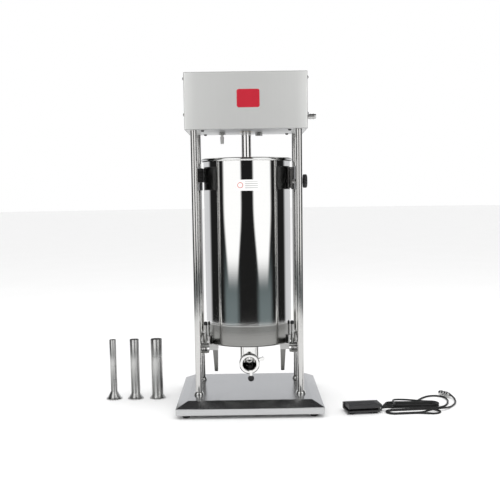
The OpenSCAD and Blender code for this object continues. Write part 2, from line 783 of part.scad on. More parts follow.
module cord_gland() {
    color(RUBBER) on_pedal() translate([GLAND_X, 0, CORD_Z]) along_x()
        cylinder(r1 = 5, r2 = 3.2, h = GLAND_L);
}

// Closed outlines of the folded cord
module cord_hank() {
    color(RUBBER) for (b = BUNDLES) hull() for (end = [b[0], b[1]])
        translate(end) cylinder(r = b[2], h = b[3]);
}

// Ring of points of radius r round p, square to the direction d
function ring_at(p, d, r, sides) =
    let (side = cross(d, [0, 0, 1]) / norm(cross(d, [0, 0, 1])), up = cross(side, d) / norm(d))
    [for (k = [0:sides - 1]) p + r * (cos(360 * k / sides) * side + sin(360 * k / sides) * up)];

function way(route, i) = route[min(i + 1, len(route) - 1)] - route[max(i - 1, 0)];

// Tube along a route
module swept(route, r, sides) {
    n = len(route);
    points = [for (i = [0:n - 1]) each ring_at(route[i], way(route, i), r, sides)];
    walls = [for (i = [0:n - 2], k = [0:sides - 1]) let (j = (k + 1) % sides)
        each [[i * sides + k, i * sides + j, (i + 1) * sides + j],
            [i * sides + k, (i + 1) * sides + j, (i + 1) * sides + k]]];
    first = [for (k = [sides - 1:-1:0]) k];
    last = [for (k = [0:sides - 1]) (n - 1) * sides + k];
    polyhedron(points, concat(walls, [first, last]));
}

module cord_tail() {
    color(RUBBER) for (route = [ENTRY, LOOP, TAIL]) swept(route, cord_d / 2, 8);
}

module cord_plug() {
    end = TAIL[len(TAIL) - 1];
    color("silver") translate(end) rotate([0, 0, 122]) translate([0.3, 0, 0]) along_x() {
        cylinder(d1 = 8, d2 = PLUG_D - 2, h = 8);
        translate([0, 0, 8]) cylinder(d = PLUG_D - 2, h = PLUG_L - 8);
        for (h = [14, 23, 32]) translate([0, 0, h]) cylinder(d = PLUG_D, h = 5);
    }
}

base_tray();
rubber_feet();
foot_screws();
columns();
column_collars();
column_nuts();
head_plate();
plate_screws();
head_posts();
head_cover();
cover_screws();
upper_rod_bush();
lower_rod_bush();
badge_plate();
pedal_socket();
gearbox_cheeks();
shaft_bearings();
drive_shaft();
pinion();
driven_gear();
motor_gear();
motor_bracket();
motor_casing();
control_box();
limit_switch();
switch_plunger();
drain_plug();
upper_brackets();
stop_block();
clamp_pad();
clamp_screw();
clamp_knob();
lower_brackets();
trunnion_bushes();
trunnions();
color(RUBBER) mirror([1, 0, 0]) lock_pin();  // lock_pin_left
color(RUBBER) lock_pin();  // lock_pin_right
cylinder_vessel();  // cylinder
cylinder_legs();
outlet_elbow();
outlet_seal();
outlet_nut();
outlet_ball();
cylinder_label();
piston_plate();
piston_seal();
piston_nut();
release_valve();
piston_rod();
stuffing_tube(TUBES[0]);  // stuffing_tube_small
stuffing_tube(TUBES[1]);  // stuffing_tube_medium
stuffing_tube(TUBES[2]);  // stuffing_tube_large
pedal_base();
pedal_feet();
pedal_treadle();
pedal_pin();
cord_gland();
cord_hank();
cord_tail();
cord_plug();
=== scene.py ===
"""Looks of a vertical electric sausage stuffer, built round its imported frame.

Shapes are given in millimetres and turned into metres when their mesh is made. +Z is up and
-Y is the front. Every new piece is a surface of two parameters: a grid of points worked out as
whole arrays.
"""

import math

import bmesh
import bpy
import numpy as np
from mathutils import Matrix, Vector


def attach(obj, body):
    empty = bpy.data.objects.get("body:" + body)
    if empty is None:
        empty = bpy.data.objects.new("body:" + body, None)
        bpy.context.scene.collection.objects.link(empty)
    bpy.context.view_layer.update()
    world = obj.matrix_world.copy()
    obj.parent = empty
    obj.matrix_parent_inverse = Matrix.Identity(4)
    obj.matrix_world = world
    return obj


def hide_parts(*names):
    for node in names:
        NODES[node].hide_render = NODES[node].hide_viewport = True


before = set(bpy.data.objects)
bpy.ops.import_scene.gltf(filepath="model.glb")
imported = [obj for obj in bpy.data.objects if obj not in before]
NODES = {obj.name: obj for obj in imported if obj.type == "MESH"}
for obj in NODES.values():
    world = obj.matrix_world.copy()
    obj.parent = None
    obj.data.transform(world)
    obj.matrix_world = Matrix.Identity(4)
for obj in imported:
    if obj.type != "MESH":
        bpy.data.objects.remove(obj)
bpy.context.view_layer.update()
TAU = 2 * math.pi

# Sizes shared with the CAD source, in millimetres
BASE_W, BASE_D, FOOT_H, RIM_TOP, DECK_Z, BEVEL = 365, 370, 9, 26, 40, 29
COLUMN_X, COLUMN_Y, COLUMN_R = 129.5, 92, 8
HEAD_W, HEAD_D, HEAD_Z, HEAD_TOP = 302, 208, 704, 842
VESSEL_R, BORE_R, VESSEL_Z, VESSEL_TOP = 110.5, 109, 163, 636
OUT_Y, OUT_Z, MOUTH_Y = -48, 117, -84
PIVOT_Y, LOCK_X = -30, 112.4
CLAMP_Z, KNOB_X, LABEL_Z = 577, 144.5, 567.5
PEDAL_AT, PEDAL_TURN, PIN_Y, PIN_Z = (279.5, -131.3, 0), 7, 22.5, 17.5
GLAND_X, GLAND_L, CORD_Z, CORD_R = 46.5, 20, 9, 2.3
SQUARE = ((1, 1), (-1, 1), (-1, -1), (1, -1))


# ---------- camera ----------

def place_camera():
    """Camera in front of the cylinder: its matrix columns are right, up, back and its place."""
    pitch, yaw, roll = (math.radians(a) for a in (6.487, 0.128, -0.825))
    ahead = Vector((math.sin(yaw) * math.cos(pitch), math.cos(yaw) * math.cos(pitch), -math.sin(pitch)))
    level = Vector((math.cos(yaw), -math.sin(yaw), 0))
    over = level.cross(ahead)
    right = level * math.cos(roll) + over * math.sin(roll)
    up = over * math.cos(roll) - level * math.sin(roll)
    data = bpy.data.cameras.new("camera")
    data.lens, data.sensor_width, data.shift_y = 61.18, 36, 0.08
    camera = bpy.data.objects.new("camera", data)
    camera.matrix_world = Matrix((
        (right.x, up.x, -ahead.x, -0.00082),
        (right.y, up.y, -ahead.y, -2.2121),
        (right.z, up.z, -ahead.z, 0.5473),
        (0, 0, 0, 1),
    ))
    bpy.context.scene.collection.objects.link(camera)
    bpy.context.scene.camera = camera


place_camera()


# ---------- node materials ----------

class Value:
    """A node's output. The operators + - * ** > < on it add Math nodes."""

    def __init__(self, finish, socket):
        self.finish, self.socket = finish, socket

    def _math(self, operation, a, b):
        return self.finish.node("ShaderNodeMath", {"operation": operation}, {0: a, 1: b})

    def __add__(self, other):
        return self._math("ADD", self, other)

    def __sub__(self, other):
        return self._math("SUBTRACT", self, other)

    def __rsub__(self, other):
        return self._math("SUBTRACT", other, self)

    def __mul__(self, other):
        return self._math("MULTIPLY", self, other)

    def __pow__(self, other):
        return self._math("POWER", self, other)

    def __gt__(self, other):
        return self._math("GREATER_THAN", self, other)

    def __lt__(self, other):
        return self._math("LESS_THAN", self, other)

    def __abs__(self):
        return self._math("ABSOLUTE", self, 0)

    __radd__, __rmul__ = __add__, __mul__


class Finish:
    """One node material: constants are set on its shader's sockets, and feed() links what varies."""

    def __init__(self, name, color=(0.5, 0.5, 0.5), **constants):
        self.material = bpy.data.materials.new(name)
        self.material.use_nodes = True
        self.tree = self.material.node_tree
        self.shader = self.tree.nodes["Principled BSDF"]
        self.shader.inputs["Base Color"].default_value = (*color, 1)
        self.material.diffuse_color = (*color, 1)
        for key, value in constants.items():
            self.shader.inputs[key.replace("_", " ").title().replace("Ior", "IOR")].default_value = value

    def node(self, kind, settings=None, inputs=None, out=0):
        """A node of that type, its settings set first, then the values or links of its sockets."""
        made = self.tree.nodes.new(kind)
        for key, value in (settings or {}).items():
            setattr(made, key, value)
        for key, value in (inputs or {}).items():
            self.join(made.inputs[key], value)
        return Value(self, made.outputs[out])

    def join(self, socket, value):
        if isinstance(value, Value):
            self.tree.links.new(value.socket, socket)
        elif isinstance(value, tuple) and len(value) == 3 and socket.type == "RGBA":
            socket.default_value = (*value, 1)
        else:
            socket.default_value = value

    def feed(self, name, value):
        self.join(self.shader.inputs[name], value)
        return self

    def place(self):
        return self.node("ShaderNodeTexCoord", out="Object")

    def axis(self, which):
        return self.node("ShaderNodeSeparateXYZ", None, {0: self.place()}, out=which)

    def stretched(self, scale):
        """The place on the piece, scaled by another factor along each axis."""
        return self.node("ShaderNodeMapping", None, {0: self.place(), "Scale": scale})

    def noise(self, scale, detail=3.0, vector=None, rough=0.55):
        return self.node("ShaderNodeTexNoise", None,
                         {"Vector": vector or self.place(), "Scale": scale, "Detail": detail,
                          "Roughness": rough}, out="Fac")

    def shade(self, factor, low, high):
        """Colour that goes from low to high as factor goes from 0 to 1."""
        return self.node("ShaderNodeMix", {"data_type": "RGBA"}, {0: factor, 6: low, 7: high}, out=2)

    def between(self, value, low, high):
        """Value carried from low..high to 0..1 and held there, smooth at both ends."""
        return self.node("ShaderNodeMapRange", {"interpolation_type": "SMOOTHSTEP"},
                         {0: value, 1: low, 2: high})

    def bump(self, height, distance, strength=1.0):
        return self.feed("Normal", self.node(
            "ShaderNodeBump", None, {"Height": height, "Distance": distance, "Strength": strength}))


def mixed(color, k):
    return tuple(min(1.0, c * k) for c in color)


def brushed(name, color, rough, grain, metallic=1.0, streaks=0.06, depth=0.00001):
    """Brushed or ground steel: drawn out noise gives the grain, broad noise the handling marks."""
    made = Finish(name, color, metallic=metallic)
    lines = made.noise(1.0, 4.0, made.stretched(grain))
    cloud = made.noise(9.0, 2.0)
    tone = lines * 0.7 + cloud * 0.3
    made.feed("Base Color", made.shade(tone, mixed(color, 1 - streaks * 2), mixed(color, 1 + streaks * 2)))
    made.feed("Roughness", lines * 0.12 + cloud * 0.1 + (rough - 0.11))
    return made.bump(lines, depth)


def head_sheet():
    """Ground sheet of the head; from its folds outwards, over its sides and top, and along its open lower
    edge, it is painted a little darker as painted shade.
    """
    color = (0.84, 0.845, 0.83)
    made = Finish("head_sheet", color, metallic=0.70)
    lines = made.noise(1.0, 4.0, made.stretched((700, 700, 5)))
    cloud = made.noise(7.0, 3.0)
    across, up = abs(made.axis("X")), made.axis("Z")
    # Painted shade: the side faces, the top face and the strip along the lower open edge are darkened by
    # position; the noise terms add real grain.
    painted_shade_faces = made.between(across, 0.1492, 0.1508) + made.between(up, 0.8400, 0.8416) + (up < 0.7052)
    painted_shade_and_grain = painted_shade_faces * 0.45 + (cloud - 0.5) * 0.12 + (lines - 0.5) * 0.06
    made.feed("Base Color", made.shade(painted_shade_and_grain, color, (0.10, 0.10, 0.10)))
    made.feed("Roughness", lines * 0.12 + cloud * 0.1 + 0.27)
    return made.bump(lines, 0.000005)


def mirror_steel(name, color, rough, polish):
    """Mirror polished steel with faint polishing lines and a few softer, handled patches."""
    made = Finish(name, color, metallic=1.0)
    lines = made.noise(1.0, 3.0, made.stretched(polish))
    cloud = made.noise(7.0, 3.0)
    made.feed("Base Color", made.shade(cloud, mixed(color, 0.97), mixed(color, 1.02)))
    made.feed("Roughness", lines * 0.05 + made.between(cloud, 0.45, 0.8) * 0.06 + (rough - 0.03))
    return made.bump(lines, 0.000004)


def vessel_steel():
    """Mirror polished cylinder; its lowest band, round the floor weld, is only ground."""
    color = (0.80, 0.80, 0.79)
    made = Finish("vessel_steel", color, metallic=1.0)
    height = made.axis("Z")
    lines = made.noise(1.0, 4.0, made.stretched((6, 6, 900)))
    cloud = made.noise(6.0, 3.0)
    ground = 1 - made.between(height, 0.212, 0.222)
    weld = 1 - made.between(abs(height - 0.2175), 0.0004, 0.0014)
    tone = ground * 0.84 + weld * 0.12 + (lines - 0.5) * 0.08
    made.feed("Base Color", made.shade(tone, color, (0.16, 0.16, 0.15)))
    made.feed("Roughness", ground * (0.10 + lines * 0.10) + lines * 0.035 + cloud * 0.025 + 0.02)
    return made.bump(lines * 0.4 + weld * 1.5 + cloud * 1.2, 0.00002)


def moulded(name, color, rough, grain=900.0, depth=0.00004, **constants):
    """Moulded plastic or rubber: fine grain, paler where it is worn, a little dust in broad patches."""
    made = Finish(name, color, **constants)
    fine, cloud = made.noise(grain, 2.0), made.noise(26.0, 4.0)
    pale = tuple(c + 0.03 for c in color)
    made.feed("Base Color", made.shade(made.between(cloud, 0.5, 0.9), color, pale))
    made.feed("Roughness", fine * 0.12 + cloud * 0.14 + (rough - 0.13))
    return made.bump(fine, depth)


def painted(name, color, rough, **constants):
    """Sprayed coat with faint orange peel and slightly lighter, rubbed patches."""
    made = Finish(name, color, **constants)
    peel, cloud = made.noise(380.0, 2.0), made.noise(14.0, 3.0)
    made.feed("Base Color", made.shade(cloud, mixed(color, 0.85), mixed(color, 1.15)))
    made.feed("Roughness", peel * 0.08 + cloud * 0.08 + (rough - 0.08))
    return made.bump(peel, 0.00004)


def label_film():
    """White film with a plain red ring and grey bars of no meaning, set out from the film's middle."""
    made = Finish("label_film", (0.9, 0.9, 0.89), coat_weight=0.4, coat_roughness=0.15)
    across, up = made.axis("X") * 1000, made.axis("Z") * 1000
    reach = ((across + 16.5) ** 2 + (up - LABEL_Z) ** 2) ** 0.5
    ring = 1 - made.between(abs(reach - 6.4), 0.5, 1.1)
    saw = made.node("ShaderNodeMath", {"operation": "PINGPONG"}, {0: up - (LABEL_Z - 8.9), 1: 2.5})
    bars = saw > 1.5
    field = (across > -5) * (across < 27) * (up > LABEL_Z - 8) * (up < LABEL_Z + 9)
    ink = made.shade(bars * field * 0.5, (0.9, 0.9, 0.89), (0.12, 0.12, 0.13))
    made.feed("Base Color", made.shade(ring, ink, (0.62, 0.07, 0.05)))
    made.feed("Roughness", made.noise(60.0) * 0.15 + 0.22)
    return made


def cord_jacket():
    """Smooth black jacket with faint extrusion lines and dust."""
    made = Finish("cord_jacket", (0.012, 0.012, 0.012), specular_ior_level=0.4)
    fine, dust = made.noise(420.0, 3.0), made.noise(60.0, 3.0)
    dusty = made.between(dust, 0.55, 0.85)
    made.feed("Base Color", made.shade(dusty, (0.012, 0.012, 0.012), (0.045, 0.045, 0.045)))
    made.feed("Roughness", fine * 0.14 + dust * 0.12 + 0.3)
    return made.bump(fine, 0.00005)


def make_finishes():
    return {
        "sheet": brushed("satin_sheet", (0.74, 0.745, 0.735), 0.40, (700, 700, 5), 0.72, 0.03),
        "tray": brushed("tray_sheet", (0.55, 0.555, 0.56), 0.22, (300, 4, 300), 1.0, 0.02, 0.000002),
        "head": head_sheet(),
        "vessel": vessel_steel(),
        "mirror": mirror_steel("polished_round", (0.78, 0.775, 0.765), 0.09, (12, 12, 500)),
        "tube": brushed("turned_tube", (0.60, 0.60, 0.59), 0.30, (8, 8, 300), 1.0, 0.02, 0.000002),
        "column": mirror_steel("column_steel", (0.60, 0.595, 0.585), 0.16, (12, 12, 500)),
        "steel": brushed("machined_steel", (0.56, 0.56, 0.55), 0.30, (300, 300, 40), 1.0, 0.08),
        "bright": brushed("bright_steel", (0.72, 0.72, 0.71), 0.18, (200, 200, 200), 1.0, 0.05),
        "dark_steel": brushed("dark_steel", (0.09, 0.09, 0.09), 0.34, (300, 20, 300), 0.9, 0.15),
        "grey_steel": brushed("grey_steel", (0.22, 0.22, 0.21), 0.32, (300, 300, 40), 1.0, 0.10),
        "gear": brushed("gear_steel", (0.34, 0.33, 0.32), 0.36, (400, 400, 400), 1.0, 0.15),
        "bronze": brushed("oiled_bronze", (0.62, 0.40, 0.16), 0.30, (300, 300, 300), 1.0, 0.12),
        "casing": painted("casing_paint", (0.16, 0.17, 0.18), 0.42),
        "enamel": painted("red_enamel", (0.50, 0.012, 0.03), 0.25, coat_weight=0.6, coat_roughness=0.08),
        "box": moulded("box_plastic", (0.22, 0.22, 0.23), 0.5),
        "plastic": moulded("black_plastic", (0.018, 0.018, 0.02), 0.42, specular_ior_level=0.5),
        "pedal": moulded("pedal_plastic", (0.022, 0.022, 0.024), 0.48, 1400.0, 0.00009),
        "rubber": moulded("black_rubber", (0.02, 0.02, 0.02), 0.7, 600.0, 0.00008),
        "food_rubber": moulded("food_rubber", (0.80, 0.79, 0.75), 0.55, 300.0, 0.00003),
        "label": label_film(),
        "cord": cord_jacket(),
    }


FINISH = make_finishes()


def wear(obj, finish):
    """The piece takes that finish in every material slot that it has."""
    material = FINISH[finish].material
    if not obj.material_slots:
        obj.data.materials.append(material)
    for slot in obj.material_slots:
        slot.material = material


# ---------- surfaces ----------

def eased(points, r, closed=False, steps=5):
    """Polyline whose corners become parabolas: (1-t)^2 a + 2t(1-t) c + t^2 b, with a and b up to r
    before and after each corner c, and never past 0.45 of a leg."""
    p = np.asarray(points, float)
    before, after = np.roll(p, 1, 0) - p, np.roll(p, -1, 0) - p
    legs = [np.linalg.norm(v, axis=1, keepdims=True) for v in (before, after)]
    a, b = (p + v / leg * np.minimum(r, 0.45 * leg) for v, leg in zip((before, after), legs))
    t = np.linspace(0, 1, steps)[:, None, None]
    curve = ((1 - t) ** 2 * a + 2 * t * (1 - t) * p + t * t * b).transpose(1, 0, 2)
    if not closed:
        curve[0], curve[-1] = p[0], p[-1]
    return curve.reshape(-1, p.shape[1])


def laid(points, along):
    """Points whose own Z axis is laid along z, x or front (-Y)."""
    x, y, z = np.moveaxis(points, -1, 0)
    order = {"z": (x, y, z), "x": (z, x, y), "front": (x, -z, y)}[along]
    return np.stack(order, -1)


def lathe(profile, at=(0, 0, 0), along="z", sides=64, closed=False):
    """A profile of (radius, height) turned about an axis: (r cos a, r sin a, h) for a all the way round."""
    p = np.asarray(profile, float)
    a = np.linspace(0, TAU, sides, endpoint=False)
    r, h = p[:, :1], p[:, 1:]
    grid = np.stack([r * np.cos(a), r * np.sin(a), h + 0 * a], -1)
    return laid(grid, along) + np.asarray(at, float), closed, True


def rounded_rect(w, d, r, steps=6):
    """Outline of a w by d rectangle: a quarter circle of radius r about each corner's centre."""
    r = min(r, w / 2, d / 2)
    a = np.linspace(0, math.pi / 2, steps)
    arcs = [np.stack([sx * (w / 2 - r) + r * np.cos(a + k * math.pi / 2),
                      sy * (d / 2 - r) + r * np.sin(a + k * math.pi / 2)], -1)
            for k, (sx, sy) in enumerate(SQUARE)]
    return np.concatenate(arcs)


def stacked(rings, heights):
    """Plane outlines, each lifted to its own height, as one grid."""
    return np.stack([np.column_stack([ring, np.full(len(ring), z)]) for ring, z in zip(rings, heights)])


def slab(outline, low, high, along="z"):
    """An outline extruded from low to high, its two ends closed onto their own middle."""
    outline = np.asarray(outline, float)
    middle = np.repeat(outline.mean(0)[None], len(outline), 0)
    return laid(stacked([middle, outline, outline, middle], [low, low, high, high]), along), False, True


def grown(low, high, along="z"):
    """A block between two corners, given in the axes of laid()."""
    w, d = high[0] - low[0], high[1] - low[1]
    ring = rounded_rect(w, d, 0.01, 2) + [(low[0] + high[0]) / 2, (low[1] + high[1]) / 2]
    return slab(ring, low[2], high[2], along)


def moved(patch, at=(0, 0, 0), turn=0.0, mirror=False):
    """A patch turned about Z by so many degrees, mirrored left to right if asked, and moved."""
    points, u, v = patch
    c, s = math.cos(math.radians(turn)), math.sin(math.radians(turn))
    points = points @ np.array([[c, s, 0], [-s, c, 0], [0, 0, 1.0]]) + np.asarray(at, float)
    if mirror:
        points = points * (-1, 1, 1)
    return points, u, v


def at_pedal(patch):
    return moved(patch, PEDAL_AT, PEDAL_TURN)


def faces_of(nu, nv, wrap_u, wrap_v):
    """Corner numbers of a grid's faces; a wrapped side joins its last row to its first."""
    u, v = np.meshgrid(np.arange(nu - (not wrap_u)), np.arange(nv - (not wrap_v)), indexing="ij")
    u1, v1 = (u + 1) % nu, (v + 1) % nv
    return np.stack([u * nv + v, u1 * nv + v, u1 * nv + v1, u * nv + v1], -1).reshape(-1, 4)


def piece(name, patches, finish, body, stands_for=(), bevel=0.0, crease=35):
    """One mesh of all its patches: doubles merged, faces turned outwards, creases kept sharp."""
    points, faces, count = [], [], 0
    for grid, wrap_u, wrap_v in patches:
        points.append(grid.reshape(-1, 3) / 1000)
        faces.append(faces_of(*grid.shape[:2], wrap_u, wrap_v) + count)
        count += len(points[-1])
    mesh = bpy.data.meshes.new(name)
    mesh.from_pydata(np.concatenate(points).tolist(), [], np.concatenate(faces).tolist())
    work = bmesh.new()
    work.from_mesh(mesh)
    bmesh.ops.remove_doubles(work, verts=work.verts, dist=0.000002)
    bmesh.ops.dissolve_degenerate(work, edges=work.edges, dist=0.000001)
    bmesh.ops.recalc_face_normals(work, faces=work.faces)
    work.to_mesh(mesh)
    work.free()
    mesh.shade_smooth()
    mesh.set_sharp_from_angle(angle=math.radians(crease))
    obj = bpy.data.objects.new(name, mesh)
    bpy.context.scene.collection.objects.link(obj)
    if bevel:
        edge = obj.modifiers.new("edges", "BEVEL")
        edge.width, edge.segments, edge.limit_method = bevel / 1000, 2, "ANGLE"
        edge.angle_limit = math.radians(40)
    wear(obj, finish)
    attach(obj, body)
    if stands_for:
        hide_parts(*stands_for)
    return obj


# ---------- cord of the foot switch ----------

REAR_MID, REAR_STRAIGHT, REAR_OUTER, REAR_INNER = (413, -84), 100, 19.6, 14.8
FRONT_MID, FRONT_TURN, UPPER_Z, PLUG_TURN = (358, -147), 6, 7.0, 122
PLUG_RINGS = (14, 23, 32)


def lap(turns, half, z):
    """Point of a lap of the rear bundle: two straights joined by half circles of radius half. turns
    counts laps clockwise from the rear left end."""
    length = REAR_STRAIGHT
    s = (turns % 1) * (2 * length + TAU * half)
    first, second = length + math.pi * half, 2 * length + math.pi * half
    parts = [s < length, s < first, s < second]
    a, b = (s - length) / half, (s - second) / half
    x = np.select(parts, [s - length / 2, length / 2 + half * np.sin(a), length / 2 - (s - first)],
                  -length / 2 - half * np.sin(b))
    y = np.select(parts, [half + 0 * s, half * np.cos(a), -half + 0 * s], -half * np.cos(b))
    return np.stack([x + REAR_MID[0], y + REAR_MID[1], z + 0 * s], -1)


def on_floor(flat):
    """Points of the floor plan, each at the height of a cord that lies on the floor."""
    return np.column_stack([flat, np.full(len(flat), CORD_R)])


def front_turn(half, come, go):
    """In along the front bundle's rear side for come, round its left end and out along its front."""
    lean = math.radians(FRONT_TURN)
    a = np.linspace(lean + math.pi / 2, lean + 3 * math.pi / 2, 30)
    arc = half * np.stack([np.cos(a), np.sin(a)], -1) + FRONT_MID
    along = np.array([math.cos(lean), math.sin(lean)])
    flat = np.concatenate([arc[0] + along * np.linspace(come, 4, 12)[:, None], arc,
                           arc[-1] + along * np.linspace(4, go, 12)[:, None]])
    return on_floor(flat)


def smoothed(points, step, width):
    """Points of a route spread evenly, then averaged over a window of that width, its ends held."""
    legs = np.linalg.norm(np.diff(points, axis=0), axis=1)
    way = np.concatenate([[0], np.cumsum(legs)])
    even = np.linspace(0, way[-1], int(way[-1] / step))
    route = np.stack([np.interp(even, way, points[:, k]) for k in range(3)], -1)
    n = int(width / step) // 2 * 2 + 1
    window = np.hanning(n + 2)[1:-1]
    window /= window.sum()
    head = 2 * route[0] - route[n // 2:0:-1]
    tail = 2 * route[-1] - route[-2:-n // 2 - 1:-1]
    padded = np.concatenate([head, route, tail])
    return np.stack([np.convolve(padded[:, k], window, "valid") for k in range(3)], -1)


def cord_route():
    """Out of the gland, over the rear bundle, a lap inwards on its top and down, out again on the
    floor, round the wide loop, the front bundle, the small loop and the front bundle, and out."""
    entry = [(345.5, -123.2, 9), (350, -122.6, 9), (355, -120.8, 9.3), (360, -116.8, 10.2),
             (364, -111, 11.2), (366.2, -103, 11.9), (366.8, -92, 12), (366.8, -80, 12),
             (368, -69, 11.9), (372.5, -59, 11), (380, -51.5, 9.6), (390, -47.5, 8.6),
             (402, -46.5, 7.8), (414, -48.5, 7.4), (427, -53, 7.2), (440, -58.5, 7.1), (453, -62.8, 7)]
    first, inner, pitch = 0.315, REAR_INNER, REAR_OUTER - REAR_INNER
    top = np.linspace(first, first + 1, 40)
    down = np.linspace(first + 1.02, first + 1.26, 12)
    low = np.linspace(first + 1.28, 3.15, 70)
    fall = (down - down[0]) / (down[-1] - down[0])
    laps = [lap(top, REAR_OUTER - pitch * (top - first), UPPER_Z),
            lap(down, inner + 0 * down, UPPER_Z - (UPPER_Z - CORD_R) * fall * fall * (3 - 2 * fall)),
            lap(low, inner + pitch * np.clip(low - low[0], 0, 1.3), CORD_R)]
    wide = [(408, -62.8), (418, -59), (427, -52), (436, -41), (445, -26), (456, -9), (469, 5),
            (484, 13.5), (498, 13), (509.5, 4), (516, -10), (517.5, -26), (516, -44), (511.5, -62),
            (505, -80), (496, -96), (484, -107.5), (469, -114)]
    small = [(414, -161.2), (428, -163.5), (441, -167), (453, -168.6), (464.5, -164.5), (472, -154.5),
             (472.6, -143), (465.5, -132.8), (453, -127.2)]
    out = [(432, -152, 2.6), (444, -148, 4.6), (456, -144.5, 6.9), (468, -141, 7.4),
           (480, -135.5, 7.1), (491, -127, 5.4), (501, -116, 3.6), (510, -104, 2.5), (518, -91, 2.3),
           (525.5, -77, 2.3), (531, -62, 2.3), (535, -47, 2.3), (537, -33, 2.8), (536.8, -21, 4.8),
           (534, -11, 7.3), (532.4, -8.5, 7.6)]
    points = [entry, *laps, on_floor(wide), front_turn(19.4, 95, 42), on_floor(small),
              front_turn(14.6, 80, 60), out]
    return smoothed(np.concatenate(points), 2.0, 9.0)


def make_cord():
    route = cord_route()
    data = bpy.data.curves.new("foot_switch_cord", "CURVE")
    data.dimensions, data.bevel_depth = "3D", CORD_R / 1000
    data.bevel_resolution, data.use_fill_caps = 4, True
    spline = data.splines.new("POLY")
    spline.points.add(len(route) - 1)
    spline.points.foreach_set("co", np.column_stack([route / 1000, np.ones(len(route))]).ravel())
    spline.use_smooth = True
    cord = bpy.data.objects.new("foot_switch_cord", data)
    bpy.context.scene.collection.objects.link(cord)
    wear(cord, "cord")
    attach(cord, "foot_switch")
    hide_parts("cord_hank", "cord_tail")
    return cord, route


def plug_patches(route):
    """Round metal connector: a ridged profile turned about the line on which it lies."""
    profile = [(0, 0.3), (3.2, 0.3), (4.2, 0.8)]
    for start in (4, 5.6):
        profile += [(4.4, start), (4.9, start + 0.4), (4.9, start + 0.9), (4.4, start + 1.3)]
    profile += [(6.2, 8), (6.5, 9)]
    for start in PLUG_RINGS:
        profile += [(6.5, start), (7.3, start + 0.7), (7.3, start + 4.3), (6.5, start + 5)]
    profile += [(6.5, 41.2), (5.9, 42), (5.2, 42), (5.2, 39.5), (0, 39.5)]
    turn = math.radians(PLUG_TURN)
    forward = np.array([math.cos(turn), math.sin(turn), 0])
    side = np.array([-math.sin(turn), math.cos(turn), 0])
    axes = np.stack([side, np.cross(forward, side), forward])
    patches = [lathe(profile, sides=48)]
    for a in np.linspace(0, TAU, 36, endpoint=False):
        for start in PLUG_RINGS:
            bar = grown((7.1, -0.22, start + 1), (7.5, 0.22, start + 4))[0]
            c, s = math.cos(a), math.sin(a)
            patches.append((bar @ np.array([[c, s, 0], [-s, c, 0], [0, 0, 1.0]]), False, True))
    pin = [(0, 39), (0.8, 39), (0.8, 41.4), (0, 41.8)]
    patches += [lathe(pin, (2.4 * math.cos(a), 2.4 * math.sin(a), 0), sides=12) for a in (0.5, 2.6, 4.7)]
    return [(grid @ axes + route[-1], u, v) for grid, u, v in patches]


def gland_patches():
    """Tapered strain relief with ribs: radius falls along its length while a row of grooves cuts into it."""
    h = np.linspace(0, GLAND_L, 61)
    groove = 0.45 * (np.sin(TAU * (h - 3) / 3.4) > 0.2) * (h > 3) * (h < 17)
    relief = np.stack([5 - 1.8 * h / GLAND_L - groove, h], -1)
    profile = np.concatenate([[(0, 0)], relief, [(2.0, GLAND_L), (0, GLAND_L)]])
    return [at_pedal(lathe(profile, (GLAND_X, 0, CORD_Z), "x", 40))]


foot_cord, foot_route = make_cord()
foot_plug = piece("cord_connector", plug_patches(foot_route), "bright", "foot_switch",
                  ["cord_plug"])
foot_gland = piece("cord_relief", gland_patches(), "rubber", "foot_switch", ["cord_gland"])


# ---------- base and columns ----------

def folded_tray():
    """Folded sheet tray: an eased section of (inset, height), each point of it an outline of the tray."""
    middle, lip, sheet = BASE_W / 2 - 0.001, 34, 2
    section = eased([(middle, DECK_Z), (BEVEL, DECK_Z), (0, RIM_TOP), (0, FOOT_H), (lip, FOOT_H),
                     (lip, FOOT_H + sheet), (sheet, FOOT_H + sheet), (sheet, RIM_TOP - 1),
                     (BEVEL + 1, DECK_Z - sheet), (middle, DECK_Z - sheet)], 1.4)
    rings = [rounded_rect(BASE_W - 2 * inset, BASE_D - 2 * inset, 2.2) for inset, _ in section]
    return [(stacked(rings, section[:, 1]), False, True)]


def four(patch):
    """The same patch at the four columns."""
    return [moved(patch, (sx * COLUMN_X, sy * COLUMN_Y, 0)) for sx, sy in SQUARE]


def column_patches():
    stud, low, high = 5, DECK_Z - 14, HEAD_Z + 18
    profile = eased([(0, low), (stud, low), (stud, DECK_Z), (COLUMN_R, DECK_Z), (COLUMN_R, HEAD_Z),
                     (stud, HEAD_Z), (stud, high), (0, high)], 0.8)
    return four(lathe(profile, sides=72))


def collar_patches():
    """Domed collar: a dome's quarter section with a small lip at its foot."""
    a = np.linspace(0, math.pi / 2, 9)
    dome = np.stack([8.05 + 4.2 * np.cos(a), DECK_Z + 2.4 + 5.4 * np.sin(a)], -1)
    profile = np.concatenate([[(8.05, DECK_Z), (12.5, DECK_Z), (12.5, DECK_Z + 1.9)], dome])
    return four(lathe(profile, sides=64, closed=True))


def foot_patches():
    """Ringed rubber feet with a recess for their screw."""
    profile = eased([(2.5, 3), (5, 3), (5, 0), (8, 0), (9.5, 2), (9.5, 4.4), (8.8, 4.8), (8.8, 5.4),
                     (9.5, 5.8), (9.5, FOOT_H), (2.5, FOOT_H)], 0.5, True)
    x, y = BASE_W / 2 - 24.5, BASE_D / 2 - 22
    return [lathe(profile, (sx * x, sy * y, 0), sides=48, closed=True) for sx, sy in SQUARE]


def screw_profile(r, h, shank, depth):
    """Domed screw head with a socket: the dome is an arc from its rim to the socket's edge."""
    a = np.linspace(0, math.radians(62), 8)
    dome = np.stack([r * np.cos(a), h * np.sin(a) / math.sin(a[-1])], -1)
    floor = h - 1.6
    return np.concatenate([[(0, -depth), (shank, -depth), (shank, 0)], dome, [(r * 0.36, floor), (0, floor)]])


